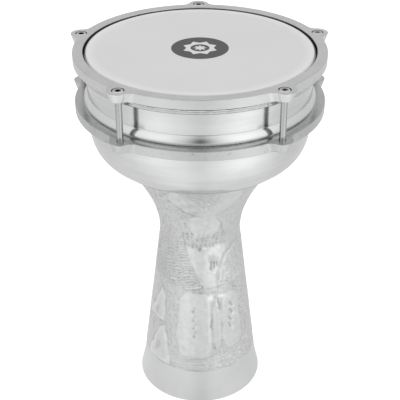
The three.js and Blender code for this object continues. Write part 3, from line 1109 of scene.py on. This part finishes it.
def badge():
    """A plain printed disc with an eight-pointed star."""
    rim = 0.9
    tips = 8
    star_r = 0.62 * BADGE_R
    notch_r = star_r * cos(pi / 4) / cos(pi / 8)
    pierced = [star(tips, star_r, notch_r, pi / 8), circle(0.33 * BADGE_R, 0, 96)]
    heart = star(tips, 0.25 * BADGE_R, 0.13 * BADGE_R)
    layer = 0.03
    low, middle, high, top = HEAD_TOP + 0.01 + layer * np.arange(4)
    plate("badge_rim", [circle(BADGE_R + rim, 0, 192)], INK_LIGHT, low, middle)
    plate("badge_disc", [circle(BADGE_R, 0, 192)], INK_DARK, middle, high)
    plate("badge_star", pierced, INK_LIGHT, high, top)
    plate("badge_heart", [heart], INK_LIGHT, high, top)


# ---------- Bolts, washers and inserts ----------


def hexagon(across_flats, z, centre, turn):
    """A hexagon with as many points as the bolt's round loops."""
    angle = turns(BOLT_SEGMENTS)
    to_flat = (angle + pi / 6) % (pi / 3) - pi / 6
    return round_about(centre, across_flats / 2 / np.cos(to_flat), angle + turn, z)


def threaded(centre, top, tip):
    """Loops of a screw thread that runs out at its top and tapers at the tip."""
    angle = turns(BOLT_SEGMENTS)
    loops = []
    for z in np.arange(top, tip, -THREAD_PITCH / 8):
        phase = (z / THREAD_PITCH - angle / (2 * pi)) % 1
        groove = 1 - np.abs(2 * phase - 1)
        run_out = min(1, (top - z) / (2 * THREAD_PITCH))
        taper = max(0, 0.8 - (z - tip))
        radius = BOLT_R - THREAD_DEPTH * groove * run_out - 0.8 * taper
        loops.append(round_about(centre, radius, angle, z))
    return loops


def tension_bolt(number, centre, turn):
    head_bottom = BOLT_TOP - BOLT_HEAD_HEIGHT
    chamfer = 0.4
    socket_r = SOCKET_ACROSS_FLATS / 2 + 0.45
    thread_top = RING_TOP + 1.0
    socket = [
        hexagon(SOCKET_ACROSS_FLATS * 0.8, BOLT_TOP - SOCKET_DEPTH - 0.2, centre, turn),
        hexagon(SOCKET_ACROSS_FLATS, BOLT_TOP - SOCKET_DEPTH, centre, turn),
        hexagon(SOCKET_ACROSS_FLATS, BOLT_TOP - 0.35, centre, turn),
    ]
    # the side of the bare rod towards the drum's wall is in shade
    outward = atan2(centre[1], centre[0])
    towards_wall = -np.cos(turns(BOLT_SEGMENTS) - outward)
    shade = -0.45 * np.clip((towards_wall + 0.1) / 0.7, 0, 1)
    # radius, height and tone from the socket's rim down to the thread
    # painted shade in the socket, down the head's side and on the shank in the counterbore; a painted
    # highlight on the head's top and chamfer
    turning = [
        (socket_r, BOLT_TOP, -0.2),
        (socket_r + 0.15, BOLT_TOP, 0.7),
        (BOLT_HEAD_R - chamfer - 0.1, BOLT_TOP, 0.7),
        (BOLT_HEAD_R - chamfer, BOLT_TOP - 0.03, 0.7),
        (BOLT_HEAD_R - 0.05, BOLT_TOP - chamfer + 0.05, 0.4),
        (BOLT_HEAD_R, BOLT_TOP - chamfer - 0.05, -0.6),
        (BOLT_HEAD_R, BOLT_TOP - 2 * chamfer, DEEP_PAINTED_SHADE),
        (BOLT_HEAD_R, head_bottom + 0.15, DEEP_PAINTED_SHADE),
        (BOLT_HEAD_R - 0.15, head_bottom, DEEP_PAINTED_SHADE),
        (BOLT_R + 0.25, head_bottom, DEEP_PAINTED_SHADE),
        (BOLT_R + 0.06, head_bottom - 0.08, DEEP_PAINTED_SHADE),
        (BOLT_R, head_bottom - 0.3, DEEP_PAINTED_SHADE),
        (BOLT_R, HOOP_BOTTOM + 0.5, DEEP_PAINTED_SHADE),
        (BOLT_R, HOOP_BOTTOM - 0.8, shade),
        (BOLT_R, thread_top + 0.2, shade),
    ]
    radii, levels, tones = zip(*turning)
    shank = lathe(zip(radii, levels), BOLT_SEGMENTS, centre)
    thread = threaded(centre, thread_top, BOLT_TIP)
    tones = [DEEP_PAINTED_SHADE, DEEP_PAINTED_SHADE, -0.55, *tones, *[shade] * len(thread)]
    skin = Skin()
    added = skin.through(socket + shank + thread, tones=tones)
    skin.cap(added[0])
    skin.cap(added[-1])
    name = f"bolt_{number}"
    skin.build(name, STEEL, name, 30, f"tension_{name}")


def washer(number, centre):
    corners = [
        (BOLT_HOLE_R, WASHER_TOP, 0.1),
        (BOLT_HOLE_R, WASHER_BOTTOM, 0.1),
        (WASHER_R, WASHER_BOTTOM, 0.15),
        (WASHER_R, WASHER_TOP, 0.2),
    ]
    quarter = pi / 2
    profile = []
    for i, (r, z, fillet) in enumerate(corners, 1):
        inwards = polar(-sqrt(2) * fillet, (i + 0.5) * quarter)
        profile += arc(inwards + (r, z), fillet, i * quarter, (i + 1) * quarter, 5)
    skin = Skin()
    skin.through(lathe(profile, BOLT_SEGMENTS, centre), closed=True)
    skin.build(f"washer_{number}", STEEL, "hoop", node=f"bolt_washer_{number}")


def lug_insert(number, centre):
    """A bush with straight knurling outside and a chamfered bore."""
    profile = [
        (INSERT_BORE_R + 0.3, INSERT_TOP),
        (INSERT_BORE_R, INSERT_TOP - 0.3),
        (INSERT_BORE_R, INSERT_BOTTOM + 0.35),
        (INSERT_BORE_R + 0.35, INSERT_BOTTOM),
        (INSERT_R - 0.25, INSERT_BOTTOM),
        (INSERT_R, INSERT_BOTTOM + 0.25),
        (INSERT_R, INSERT_TOP - 0.4),
        (INSERT_R - 0.3, INSERT_TOP),
    ]
    segments = 2 * BOLT_SEGMENTS
    knurl = np.where(np.arange(segments) % 2 == 0, 1.0, 0.965)
    loops = []
    for r, z in profile:
        radius = r * knurl if r == INSERT_R else r
        loops.append(round_about(centre, radius, turns(segments), z))
    skin = Skin()
    skin.through(loops, closed=True)
    skin.build(f"insert_{number}", STEEL, "shell", node=f"lug_insert_{number}")


# ---------- Studio ----------


def direction(azimuth, elevation):
    """A unit vector. Azimuth 0 points from the drum to the camera's side, and 90 to the right."""
    a, e = radians(azimuth), radians(elevation)
    return (sin(a) * cos(e), -cos(a) * cos(e), sin(e))


# The metal reflects two soft boxes, left and right of the camera, and the dark stand that the camera is on.
# A spot is a centre, a reach and an amount. On the floor its centre is in metres, and the spots are painted
# pools of light and the stand a painted shade in the glow that the metal reflects.
FLOOR_FILL = 0.55
FLOOR_BASE = 0.73
FLOOR_PAINTED_POOLS = [
    ((0.0, -0.60, -0.32), 0.55, 0.11),
    ((-0.42, -0.46, -0.32), 0.28, 0.32),
    ((0.42, -0.46, -0.32), 0.28, 0.48),
    ((-0.10, -0.26, -0.32), 0.20, 0.08),
]
SKY_BASE = 0.76
SKY_DARKEST = 0.03
SKY_SPOTS = [
    (direction(-40, 26), 0.60, 0.38),
    (direction(40, 26), 0.60, 0.56),
    (direction(180, 31), 0.45, -0.13),
]
STAND_WIDTH = 0.18
FLOOR_STAND_SHADE = -0.07
STANDS_IN_SKY = [(0.15, -0.42), (0.42, -0.54)]  # width and amount of its core and its halo
STAND_HEIGHT = 0.36
STAND_REACH = 0.48

LAMP_PLACE = (-0.1, 0.1, 1.4)
LAMP_TILT = radians(-4)
LAMP_SIZE = 1.2
LAMP_WATTS = 2.5

CAMERA_PLACE = (-0.00871, -0.70295, 0.2795)
CAMERA_TILT = radians(59.15)
CAMERA_TURN = radians(-0.71)
CAMERA_LENS = 84.8
CAMERA_SENSOR = 36


def bell(s, value, width):
    """1 where the value is 0, falling off smoothly to either side."""
    squared = s.math("POWER", s.math("DIVIDE", value, width), 2)
    return s.math("EXPONENT", s.times(squared, -1))


def column(s, vector, half_width):
    """1 straight ahead of the drum, where the camera stands, falling off to both sides and 0 behind."""
    x, y = s.node("SeparateXYZ", {0: vector}).outputs[:2]
    return s.times(bell(s, s.math("DIVIDE", x, y), half_width), s.math("LESS_THAN", y, 0))


def brightness(s, vector, base, stand, spots):
    """The base, with the stand and a few round spots added."""
    added = s.add(base, stand)
    for centre, reach, amount in spots:
        apart = s.node("VectorMath", {0: vector, 1: centre}, operation="DISTANCE").outputs["Value"]
        added = s.add(added, s.times(bell(s, apart, reach), amount))
    return added


def studio_floor():
    """A pale floor. What the metal reflects of it is a painted glow: brighter pools where the soft boxes on
    both sides of the camera would light it, and a painted shade under the camera."""
    skin = Skin()
    loops = skin.through([circle(r, FOOT, 96) for r in (6000, 1500, 600, 300, 120)])
    skin.cap(loops[-1])
    s = shader("studio_floor")
    s.finish({
        "Base Color": s.grey(s.span(s.noise(4, detail=2), 0.84, 0.86)),
        "Roughness": 0.9,
        "Specular IOR Level": 0.1,
        "Emission Color": (1, 1, 1, 1),
        "Emission Strength": FLOOR_FILL,
    })
    place = s.place()
    # the stand's painted shade and the painted pools of light, seen only in reflections
    stand = s.times(column(s, place, STAND_WIDTH), FLOOR_STAND_SHADE)
    strength = brightness(s, place, FLOOR_BASE, stand, FLOOR_PAINTED_POOLS)
    mirrored = s.node("Emission", {"Strength": strength}).outputs[0]
    seen = s.node("LightPath").outputs["Is Camera Ray"]
    surface = s.tree.nodes["Principled BSDF"].outputs[0]
    chosen = s.node("MixShader", {0: seen, 1: mirrored, 2: surface}).outputs[0]
    s.put(s.tree.nodes["Material Output"], {"Surface": chosen})
    skin.build("floor", s.owner, None)


def studio_sky():
    """A plain pale room with a soft box on each side of the camera."""
    world = bpy.data.worlds.new("studio")
    bpy.context.scene.world = world
    s = Shader(world)
    place = s.node("TexCoord").outputs["Generated"]
    height = s.node("SeparateXYZ", {0: place}).outputs[2]
    tall = bell(s, s.math("SUBTRACT", height, STAND_HEIGHT), STAND_REACH)
    core, halo = [s.times(column(s, place, width), amount) for width, amount in STANDS_IN_SKY]
    stand = s.times(s.add(core, halo), tall)
    strength = s.math("MAXIMUM", brightness(s, place, SKY_BASE, stand, SKY_SPOTS), SKY_DARKEST)
    s.put(s.tree.nodes["Background"], {"Color": (1, 1, 1, 1), "Strength": strength})


def soft_lamp():
    """A soft lamp overhead, which the metal doesn't reflect."""
    data = bpy.data.lights.new("soft_top", "AREA")
    data.shape = "DISK"
    data.size = LAMP_SIZE
    data.energy = LAMP_WATTS
    lamp = bpy.data.objects.new("soft_top", data)
    lamp.visible_glossy = False
    lamp.location = LAMP_PLACE
    lamp.rotation_euler = (LAMP_TILT, LAMP_TILT, 0)
    bpy.context.scene.collection.objects.link(lamp)


def camera():
    data = bpy.data.cameras.new("camera")
    data.sensor_width = CAMERA_SENSOR
    data.lens = CAMERA_LENS
    data.clip_start = 0.01
    view = bpy.data.objects.new("camera", data)
    view.rotation_mode = "XYZ"
    view.location = CAMERA_PLACE
    view.rotation_euler = (CAMERA_TILT, 0, CAMERA_TURN)
    bpy.context.scene.collection.objects.link(view)
    bpy.context.scene.camera = view


bowl_shell()
neck_tube()
tuning_hoop()
lug_ring()
flesh_hoop()
drumhead()
badge()
for i, axis in enumerate(BOLT_AXES):
    tension_bolt(i + 1, axis, radians(17 + 31 * i))
    washer(i + 1, axis)
    lug_insert(i + 1, axis)
studio_floor()
studio_sky()
soft_lamp()
camera()
bpy.context.scene.view_settings.view_transform = "Standard"
